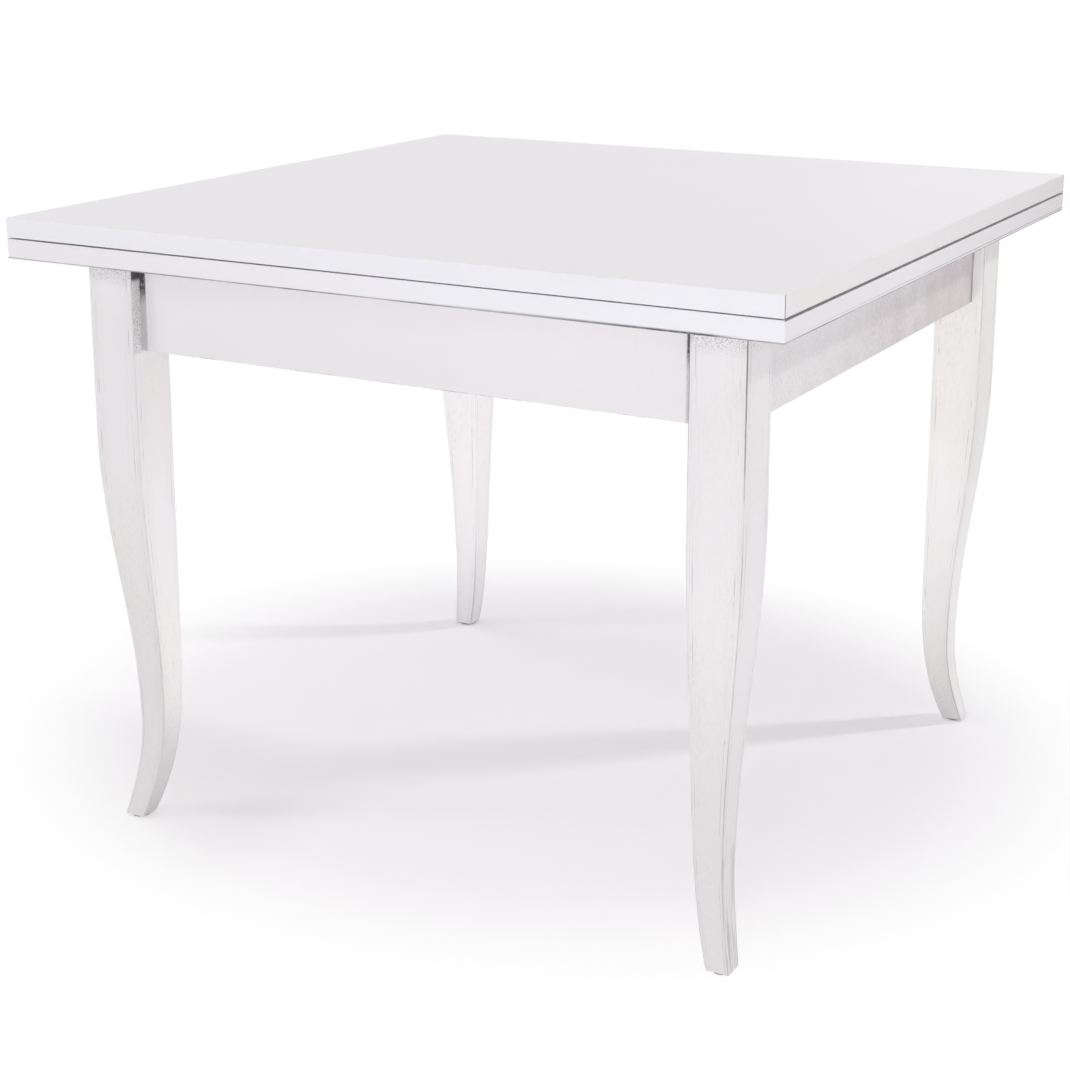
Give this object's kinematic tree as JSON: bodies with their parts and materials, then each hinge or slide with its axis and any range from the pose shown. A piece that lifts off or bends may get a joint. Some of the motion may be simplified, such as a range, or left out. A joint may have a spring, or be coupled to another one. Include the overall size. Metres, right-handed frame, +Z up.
{
  "type": "flip-top table",
  "caption": "Square white dining table on sabre legs; two stacked leaves, hinged along one edge, slide half their width and unfold to double the top.",
  "frame": {"origin": "on the floor, under the centre of the closed top", "axes": "+X to the right along the front, the way the top slides; +Y to the back; +Z up. The hinged edge of the leaves is the left one."},
  "size_m": [1.0032, 1, 0.785],
  "materials": {
    "leaf_lacquer": "smooth white satin lacquer",
    "frame_lacquer": "white satin lacquer over open-pored wood",
    "bare_wood": "planed beech, clear sealer",
    "zinc_steel": "bright zinc plating",
    "hinge_brass": "satin brass",
    "glide_plastic": "white low-friction plastic",
    "pad_plastic": "milky soft plastic",
    "buffer_rubber": "black rubber",
    "foot_felt": "pressed grey felt"
  },
  "bodies": {
    "frame": {"leg_front_left": "frame_lacquer", "leg_front_right": "frame_lacquer", "leg_back_left": "frame_lacquer", "leg_back_right": "frame_lacquer", "apron_front": "frame_lacquer", "apron_back": "frame_lacquer", "apron_left": "frame_lacquer", "apron_right": "frame_lacquer", "corner_brackets": "zinc_steel", "bracket_screws": "zinc_steel", "hanger_bolts": "zinc_steel", "leg_washers": "zinc_steel", "leg_nuts": "zinc_steel", "guide_rail_front": "bare_wood", "guide_rail_back": "bare_wood", "rail_dowels": "bare_wood", "glide_strips": "glide_plastic", "stop_buffers": "buffer_rubber", "foot_pads": "foot_felt"},
    "sliding_top": {"lower_leaf": "leaf_lacquer", "runner_front": "bare_wood", "runner_back": "bare_wood", "runner_screws": "zinc_steel", "leaf_pads": "pad_plastic", "hinge_plates_lower": "hinge_brass", "hinge_pins": "hinge_brass", "hinge_screws_lower": "hinge_brass"},
    "flip_leaf": {"upper_leaf": "leaf_lacquer", "hinge_plates_upper": "hinge_brass", "hinge_screws_upper": "hinge_brass"}
  },
  "joints": [
    {"name": "top_slide", "type": "slide", "parent": "frame", "child": "sliding_top", "axis": [1, 0, 0], "range_m": [0, 0.5]},
    {"name": "leaf_flip", "type": "hinge", "parent": "sliding_top", "child": "flip_leaf", "pos_m": [-0.5007, 0, 0.7603], "axis": [0, -1, 0], "range_deg": [0, 180]}
  ]
}
